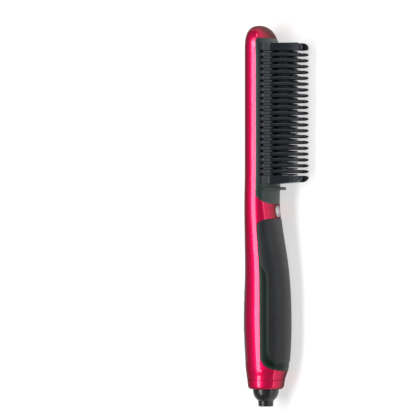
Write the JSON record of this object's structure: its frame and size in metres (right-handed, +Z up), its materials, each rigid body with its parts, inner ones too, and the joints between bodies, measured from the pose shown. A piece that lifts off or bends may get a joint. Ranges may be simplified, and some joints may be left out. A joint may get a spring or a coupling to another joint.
{
  "type": "hair straightener comb",
  "caption": "Handheld heated comb hair straightener: slim two-shell body, guard comb over heated fins, soft grip, key panel on the back and a swivelling cord gland.",
  "frame": {"origin": "centre of the footprint on the surface it rests on", "axes": "+X from the tail towards the crown, +Y out of the panel side, +Z up; it lies on its flank, its grip and the tips of one row of teeth"},
  "size_m": [0.2744, 0.0471, 0.0394],
  "materials": {
    "housing_red": "metallic candy red lacquer over moulded nylon",
    "panel_black": "satin black dead-front cover",
    "frame_black": "fine matte texture",
    "tooth_grey": "smooth heat-resistant nylon",
    "heated_aluminium": "dark ceramic coating on an aluminium casting",
    "ceramic": "sintered alumina",
    "mica": "pressed mica sheet",
    "spring_steel": "bright steel",
    "tray": "glass-filled heat-proof moulding",
    "glass_bead": "amber glass bead",
    "fuse_case": "drawn metal case",
    "sleeve": "silicone-sleeved lead",
    "carrier_black": "satin moulded rim",
    "soft_grip": "soft-touch elastomer",
    "disc_silver": "plain metallised disc",
    "button_silver": "silver lacquered key",
    "board": "solder mask",
    "black_moulding": "black moulding",
    "components": "capacitors, relay and transformer cases",
    "ribbon": "flat cable jacket",
    "wire_red": "insulated core",
    "contact_brass": "turned brass",
    "contact_block": "phenolic moulding",
    "retainer": "acetal ring",
    "gland_black": "moulded nylon ball",
    "screw_steel": "zinc-plated steel"
  },
  "bodies": {
    "housing": {"back_shell": "housing_red", "front_shell": "housing_red", "end_collar": "housing_red", "back_panel": "panel_black", "comb_frame": "frame_black", "guard_comb": "tooth_grey", "heating_comb": "heated_aluminium", "heater_element": "ceramic", "heater_insulator": "mica", "heater_clamp": "spring_steel", "heater_carrier": "tray", "temperature_sensor": "glass_bead", "thermal_fuse": "fuse_case", "heater_leads": "sleeve", "grip_carrier": "carrier_black", "grip_pad": "soft_grip", "badge_disc": "disc_silver", "control_board": "board", "display_module": "black_moulding", "tact_switches": "black_moulding", "power_board": "board", "power_components": "components", "ribbon_cable": "ribbon", "supply_wires": "wire_red", "contact_block": "contact_block", "swivel_retainer": "retainer", "housing_screws": "screw_steel", "heater_screws": "screw_steel"},
    "up_key": {"up_button": "button_silver"},
    "down_key": {"down_button": "button_silver"},
    "power_key": {"power_button": "button_silver"},
    "cord_swivel": {"swivel_gland": "gland_black", "contact_rings": "contact_brass"}
  },
  "joints": [
    {"name": "up_press", "type": "slide", "parent": "housing", "child": "up_key", "axis": [0.002, -0.9338, -0.3577], "range_m": [0, 0.0005], "stiffness_N_per_m": 600},
    {"name": "down_press", "type": "slide", "parent": "housing", "child": "down_key", "axis": [0.002, -0.9338, -0.3577], "range_m": [0, 0.0005], "stiffness_N_per_m": 600},
    {"name": "power_press", "type": "slide", "parent": "housing", "child": "power_key", "axis": [0.002, -0.9338, -0.3577], "range_m": [0, 0.0005], "stiffness_N_per_m": 600},
    {"name": "cord_swivel_turn", "type": "hinge", "parent": "housing", "child": "cord_swivel", "pos_m": [-0.12472, 0.00743, 0.01764], "axis": [1, 0, 0.0056], "continuous": true}
  ]
}
